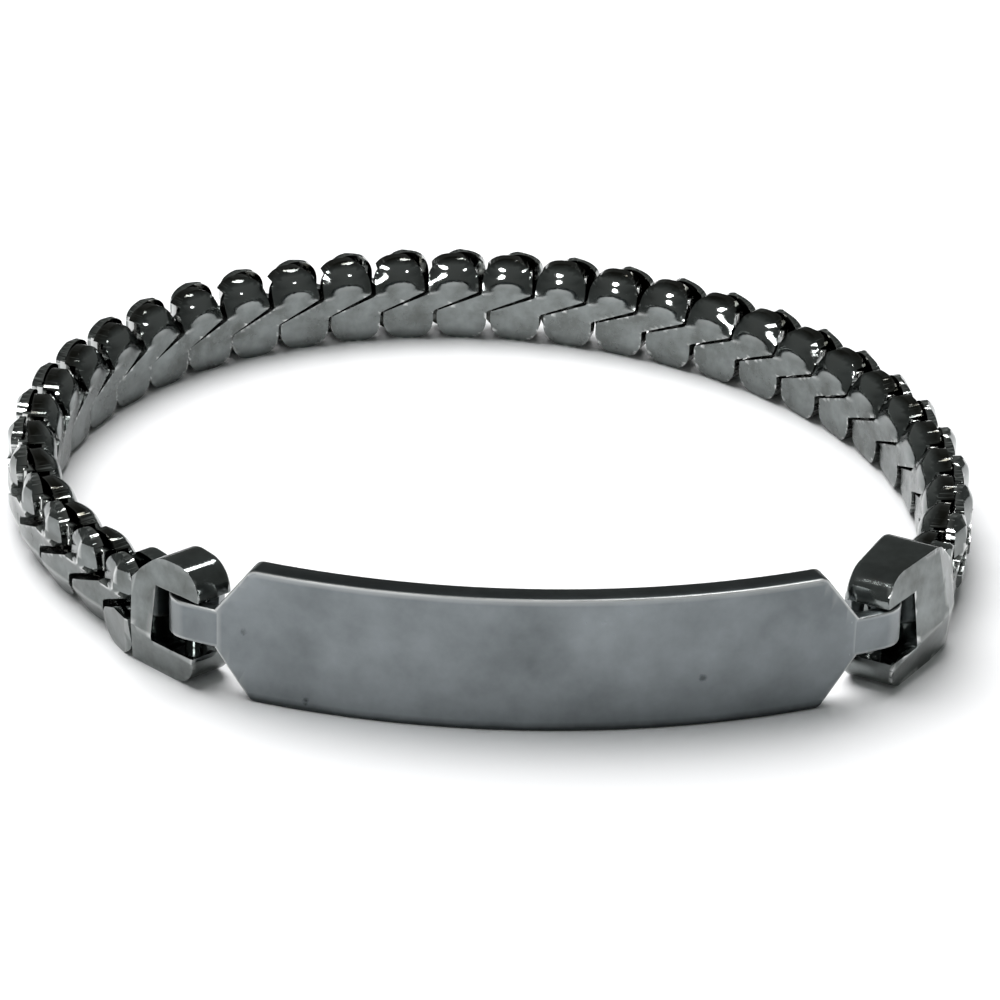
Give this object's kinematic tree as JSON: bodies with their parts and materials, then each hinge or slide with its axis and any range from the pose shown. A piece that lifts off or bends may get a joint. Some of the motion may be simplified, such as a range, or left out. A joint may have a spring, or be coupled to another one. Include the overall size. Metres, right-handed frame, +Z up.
{
  "type": "id bracelet",
  "caption": "Identity bracelet: a plain bowed name plate hooked at both ends to a chain of heavy interlocking two-faced links, standing on its edge.",
  "frame": {"origin": "bottom centre of the bounding box, on the surface that the bracelet stands on", "axes": "+Z up along the wrist axis, the name plate towards -Y, +X to the right seen from the plate's side"},
  "size_m": [0.068, 0.0622, 0.0098],
  "materials": {
    "plate_silver": "satin, worn, with a dark rim",
    "chain_silver": "polished and tarnished dark, with bright worn edges"
  },
  "bodies": {
    "root": {"name_plate": "plate_silver", "end_link_left": "chain_silver", "end_link_right": "chain_silver", "link_01": "chain_silver", "link_02": "chain_silver", "link_03": "chain_silver", "link_04": "chain_silver", "link_05": "chain_silver", "link_06": "chain_silver", "link_07": "chain_silver", "link_08": "chain_silver", "link_09": "chain_silver", "link_10": "chain_silver", "link_11": "chain_silver", "link_12": "chain_silver", "link_13": "chain_silver", "link_14": "chain_silver", "link_15": "chain_silver", "link_16": "chain_silver", "link_17": "chain_silver", "link_18": "chain_silver", "link_19": "chain_silver", "link_20": "chain_silver", "link_21": "chain_silver", "link_22": "chain_silver", "link_23": "chain_silver", "link_24": "chain_silver", "link_25": "chain_silver", "link_26": "chain_silver", "link_27": "chain_silver", "link_28": "chain_silver", "link_29": "chain_silver", "link_30": "chain_silver", "link_31": "chain_silver"}
  },
  "joints": []
}
